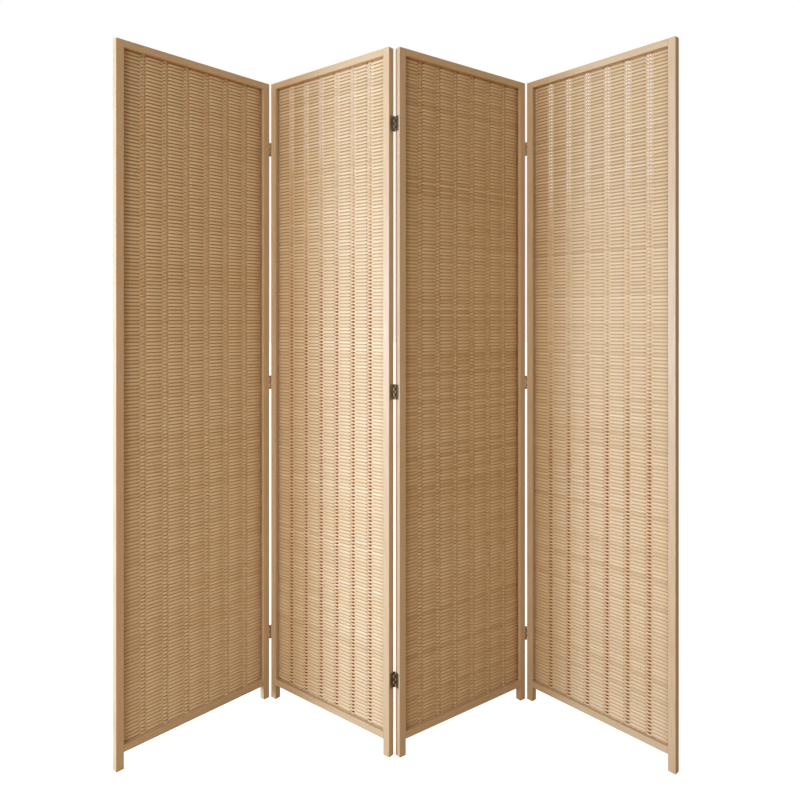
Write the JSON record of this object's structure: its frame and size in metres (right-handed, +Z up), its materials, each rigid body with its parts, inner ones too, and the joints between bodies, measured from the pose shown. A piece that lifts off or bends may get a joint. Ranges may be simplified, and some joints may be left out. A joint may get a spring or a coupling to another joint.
{
  "type": "folding room divider screen",
  "caption": "Free-standing folding screen: framed panels of woven bamboo joined edge to edge by vertical hinge lines, folding like an accordion.",
  "frame": {"origin": "middle of the standing, folded screen at floor level", "axes": "+Z up; +X along the row of panels from panel 1 to panel 4; +Y from the side the outer ends point to, towards the back"},
  "size_m": [1.3912, 0.3484, 1.8],
  "materials": {
    "frame_wood": "pale natural wood, clear satin lacquer",
    "bamboo_splits": "split bamboo, uneven honey tones, low sheen",
    "bamboo_uprights": "planed bamboo, plain",
    "hinge_bronze": "dark antique bronze plating",
    "hinge_screws": "plated steel, worn bright on the heads"
  },
  "bodies": {
    "panel_1": {"hinge_1_1_pin": "hinge_bronze", "hinge_1_1_right_post_leaf": "hinge_bronze", "hinge_1_2_pin": "hinge_bronze", "hinge_1_2_right_post_leaf": "hinge_bronze", "hinge_1_3_pin": "hinge_bronze", "hinge_1_3_right_post_leaf": "hinge_bronze", "panel_1_bottom_rail": "frame_wood", "panel_1_hinge_screws": "hinge_screws", "panel_1_left_post": "frame_wood", "panel_1_right_post": "frame_wood", "panel_1_top_rail": "frame_wood", "panel_1_warp_slats": "bamboo_uprights", "panel_1_warp_stakes": "bamboo_uprights", "panel_1_woven_mat": "bamboo_splits"},
    "panel_2": {"hinge_1_1_left_post_leaf": "hinge_bronze", "hinge_1_2_left_post_leaf": "hinge_bronze", "hinge_1_3_left_post_leaf": "hinge_bronze", "hinge_2_1_pin": "hinge_bronze", "hinge_2_1_right_post_leaf": "hinge_bronze", "hinge_2_2_pin": "hinge_bronze", "hinge_2_2_right_post_leaf": "hinge_bronze", "hinge_2_3_pin": "hinge_bronze", "hinge_2_3_right_post_leaf": "hinge_bronze", "panel_2_bottom_rail": "frame_wood", "panel_2_hinge_screws": "hinge_screws", "panel_2_left_post": "frame_wood", "panel_2_right_post": "frame_wood", "panel_2_top_rail": "frame_wood", "panel_2_warp_slats": "bamboo_uprights", "panel_2_warp_stakes": "bamboo_uprights", "panel_2_woven_mat": "bamboo_splits"},
    "panel_3": {"hinge_2_1_left_post_leaf": "hinge_bronze", "hinge_2_2_left_post_leaf": "hinge_bronze", "hinge_2_3_left_post_leaf": "hinge_bronze", "hinge_3_1_pin": "hinge_bronze", "hinge_3_1_right_post_leaf": "hinge_bronze", "hinge_3_2_pin": "hinge_bronze", "hinge_3_2_right_post_leaf": "hinge_bronze", "hinge_3_3_pin": "hinge_bronze", "hinge_3_3_right_post_leaf": "hinge_bronze", "panel_3_bottom_rail": "frame_wood", "panel_3_hinge_screws": "hinge_screws", "panel_3_left_post": "frame_wood", "panel_3_right_post": "frame_wood", "panel_3_top_rail": "frame_wood", "panel_3_warp_slats": "bamboo_uprights", "panel_3_warp_stakes": "bamboo_uprights", "panel_3_woven_mat": "bamboo_splits"},
    "panel_4": {"hinge_3_1_left_post_leaf": "hinge_bronze", "hinge_3_2_left_post_leaf": "hinge_bronze", "hinge_3_3_left_post_leaf": "hinge_bronze", "panel_4_bottom_rail": "frame_wood", "panel_4_hinge_screws": "hinge_screws", "panel_4_left_post": "frame_wood", "panel_4_right_post": "frame_wood", "panel_4_top_rail": "frame_wood", "panel_4_warp_slats": "bamboo_uprights", "panel_4_warp_stakes": "bamboo_uprights", "panel_4_woven_mat": "bamboo_splits"}
  },
  "joints": [
    {"name": "hinge_line_1", "type": "hinge", "parent": "panel_2", "child": "panel_1", "pos_m": [-0.3793, 0.16115, 0.9], "axis": [0, 0, 1], "range_deg": [-85, 95]},
    {"name": "hinge_line_2", "type": "hinge", "parent": "panel_2", "child": "panel_3", "pos_m": [-0.00418, -0.09711, 0.9], "axis": [0, 0, 1], "range_deg": [-74, 106]},
    {"name": "hinge_line_3", "type": "hinge", "parent": "panel_3", "child": "panel_4", "pos_m": [0.37093, 0.16115, 0.9], "axis": [0, 0, 1], "range_deg": [-96.5, 83.5]}
  ]
}
